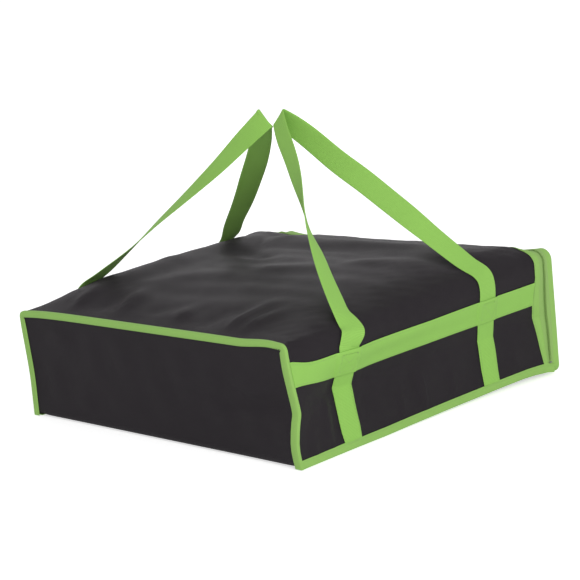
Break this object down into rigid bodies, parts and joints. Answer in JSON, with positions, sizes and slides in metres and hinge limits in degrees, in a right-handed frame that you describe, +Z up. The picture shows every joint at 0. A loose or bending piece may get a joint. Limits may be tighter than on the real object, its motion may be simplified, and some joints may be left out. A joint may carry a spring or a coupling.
{
  "type": "insulated pizza delivery bag",
  "caption": "Soft insulated bag for flat boxes, with a crowned top, a zipped fold-down end, a webbing band round the sides and loop handles that lean together.",
  "frame": {"origin": "on the resting plane under the base, in the middle of the bag's length and width", "axes": "+X from the closed end to the zipped door, +Y across to the side that carries the slider, +Z up"},
  "size_m": [0.4409, 0.4586, 0.3502],
  "materials": {
    "black_fabric": "matte non-woven cloth",
    "grey_foam": "matte padding",
    "silver_lining": "silvery coated cloth",
    "green_webbing": "matte woven webbing",
    "green_binding": "matte woven tape",
    "green_thread": "matte thread",
    "zip_tape": "matte woven tape",
    "zip_coil": "satin",
    "zip_metal": "satin"
  },
  "bodies": {
    "body": {"outer_sleeve": "black_fabric", "insulation_sleeve": "grey_foam", "lining_sleeve": "silver_lining", "outer_base": "black_fabric", "insulation_base": "grey_foam", "lining_base": "silver_lining", "binding_rear": "green_binding", "binding_mouth": "green_binding", "binding_base_front": "green_binding", "binding_base_back": "green_binding", "band_front": "green_webbing", "band_back": "green_webbing", "strap_front_rear": "green_webbing", "strap_front_door": "green_webbing", "strap_back_rear": "green_webbing", "strap_back_door": "green_webbing", "stitch_front_rear": "green_thread", "stitch_front_door": "green_thread", "stitch_back_rear": "green_thread", "stitch_back_door": "green_thread", "zip_tape_body": "zip_tape", "zip_coil_body": "zip_coil", "zip_stop_front": "zip_metal", "zip_stop_back": "zip_metal"},
    "door": {"door_outer": "black_fabric", "door_insulation": "grey_foam", "door_lining": "silver_lining", "binding_door": "green_binding", "zip_tape_door": "zip_tape", "zip_coil_door": "zip_coil"},
    "front_loop": {"handle_front": "green_webbing"},
    "back_loop": {"handle_back": "green_webbing"},
    "slider": {"zip_slider": "zip_metal"},
    "pull": {"zip_pull": "zip_metal"}
  },
  "joints": [
    {"name": "door_hinge", "type": "hinge", "parent": "body", "child": "door", "pos_m": [0.22, 0, 0.0005], "axis": [0, 1, 0], "range_deg": [0, 90]},
    {"name": "handle_front_hinge", "type": "hinge", "parent": "body", "child": "front_loop", "pos_m": [-0.0185, -0.22427, 0.11465], "axis": [1, 0, 0], "range_deg": [0, 150]},
    {"name": "handle_back_hinge", "type": "hinge", "parent": "body", "child": "back_loop", "pos_m": [-0.0185, 0.2233, 0.11465], "axis": [-1, 0, 0], "range_deg": [0, 150]},
    {"name": "zip_slide", "type": "slide", "parent": "body", "child": "slider", "axis": [0, 0, 1], "range_m": [0, 0.08]},
    {"name": "zip_pull_hinge", "type": "hinge", "parent": "slider", "child": "pull", "pos_m": [0.2015, 0.22955, 0.025], "axis": [1, 0, 0], "range_deg": [0, 165]}
  ]
}
